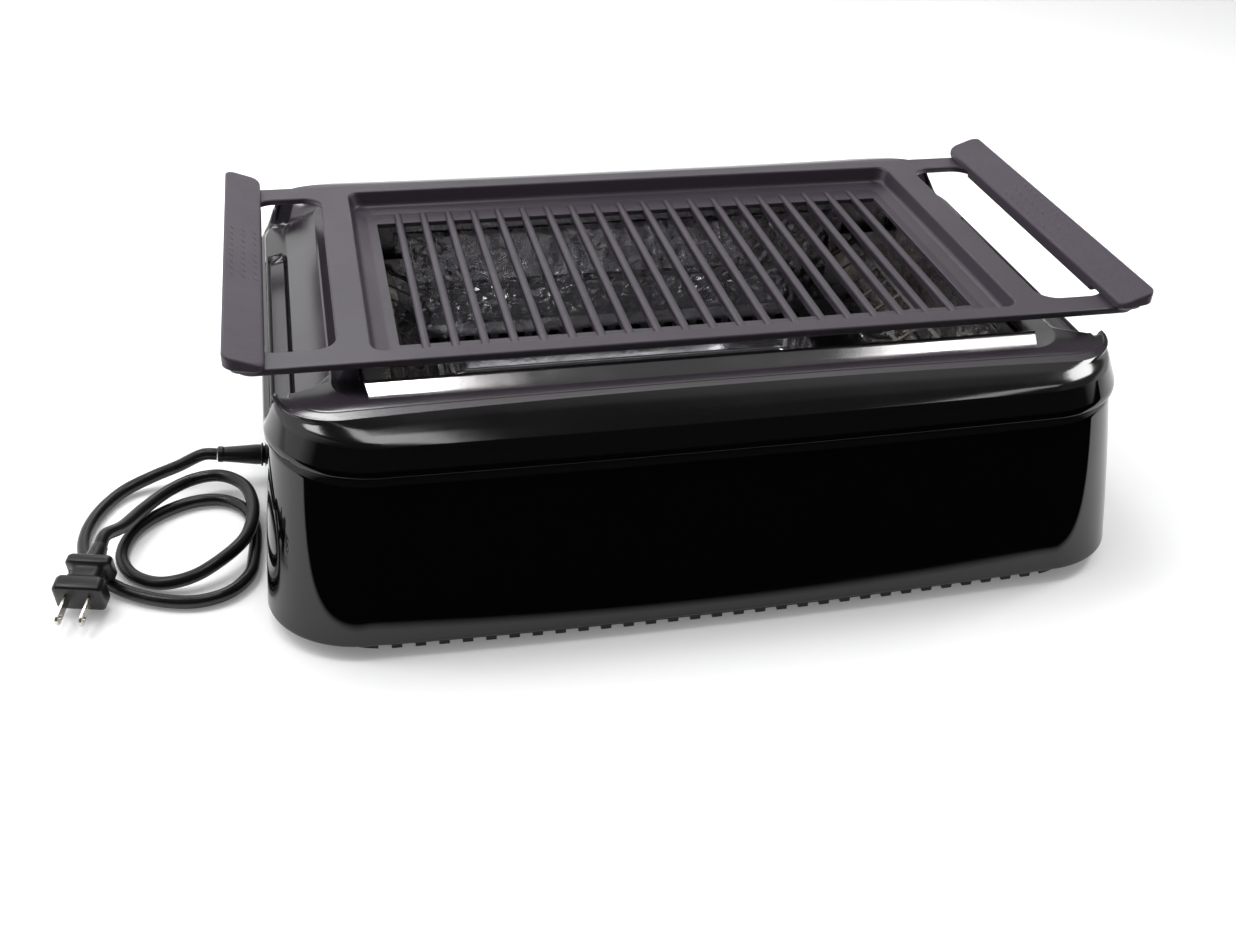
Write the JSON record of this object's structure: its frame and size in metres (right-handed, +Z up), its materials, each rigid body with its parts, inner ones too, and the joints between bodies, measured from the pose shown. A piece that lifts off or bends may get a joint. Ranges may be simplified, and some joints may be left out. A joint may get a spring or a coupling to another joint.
{
  "type": "smokeless indoor grill",
  "caption": "Countertop electric grill: a glossy black housing with a lift-off slotted grate on two side grips, side heaters over a drip tray, a rocker switch and a mains lead.",
  "frame": {"origin": "on the table, under the middle of the housing", "axes": "+Z up; X along the long side, so the grips are at -X and +X; the front faces -Y and the mains lead leaves the left (-X) side"},
  "size_m": [0.6178, 0.3676, 0.1555],
  "materials": {
    "housing_gloss": "gloss",
    "base": "satin",
    "rubber": "matte",
    "screw_steel": "satin",
    "grate_cast": "dark non-stick coating, matte",
    "grip": "fine matte",
    "bright_sheet": "bright, dimpled where it lines the sides",
    "tray_metal": "bright",
    "quartz": "milky quartz",
    "ceramic": "matte",
    "cutout_metal": "satin",
    "switch": "satin",
    "lead": "satin",
    "cord": "satin",
    "blade": "nickel plated"
  },
  "bodies": {
    "housing": {"back_reflector": "bright_sheet", "base_plate": "base", "base_screw_back_left": "screw_steel", "base_screw_back_right": "screw_steel", "base_screw_front_left": "screw_steel", "base_screw_front_right": "screw_steel", "cord_strain_relief": "cord", "foot_back_left": "rubber", "foot_back_right": "rubber", "foot_front_left": "rubber", "foot_front_right": "rubber", "front_reflector": "bright_sheet", "inner_liner": "bright_sheet", "left_heater_cap_back": "ceramic", "left_heater_cap_front": "ceramic", "left_heater_guard": "bright_sheet", "left_heater_tube": "quartz", "left_trough_reflector": "bright_sheet", "line_lead": "lead", "lower_housing": "housing_gloss", "neutral_lead": "lead", "plug_blade_left": "blade", "plug_blade_right": "blade", "plug_body": "cord", "power_cord": "cord", "right_heater_cap_back": "ceramic", "right_heater_cap_front": "ceramic", "right_heater_guard": "bright_sheet", "right_heater_tube": "quartz", "right_trough_reflector": "bright_sheet", "switch_housing": "switch", "terminal_block": "ceramic", "thermal_cutout": "cutout_metal", "upper_housing": "housing_gloss"},
    "grate": {"grill_grate": "grate_cast", "left_handle": "grip", "left_handle_screw_back": "screw_steel", "left_handle_screw_front": "screw_steel", "right_handle": "grip", "right_handle_screw_back": "screw_steel", "right_handle_screw_front": "screw_steel"},
    "tray": {"drip_tray": "tray_metal"},
    "rocker": {"switch_rocker": "switch"}
  },
  "joints": [
    {"name": "grate_lift", "type": "slide", "parent": "housing", "child": "grate", "axis": [0, 0, 1], "range_m": [0, 0.3]},
    {"name": "tray_lift", "type": "slide", "parent": "housing", "child": "tray", "axis": [0, 0, 1], "range_m": [0, 0.15]},
    {"name": "switch_rock", "type": "hinge", "parent": "housing", "child": "rocker", "pos_m": [0.2435, 0, 0.06], "axis": [0, 1, 0], "range_deg": [-14, 0]}
  ],
  "couplings": [
    {"joint": "tray_lift", "follows": "grate_lift", "ratio": 0.5}
  ]
}
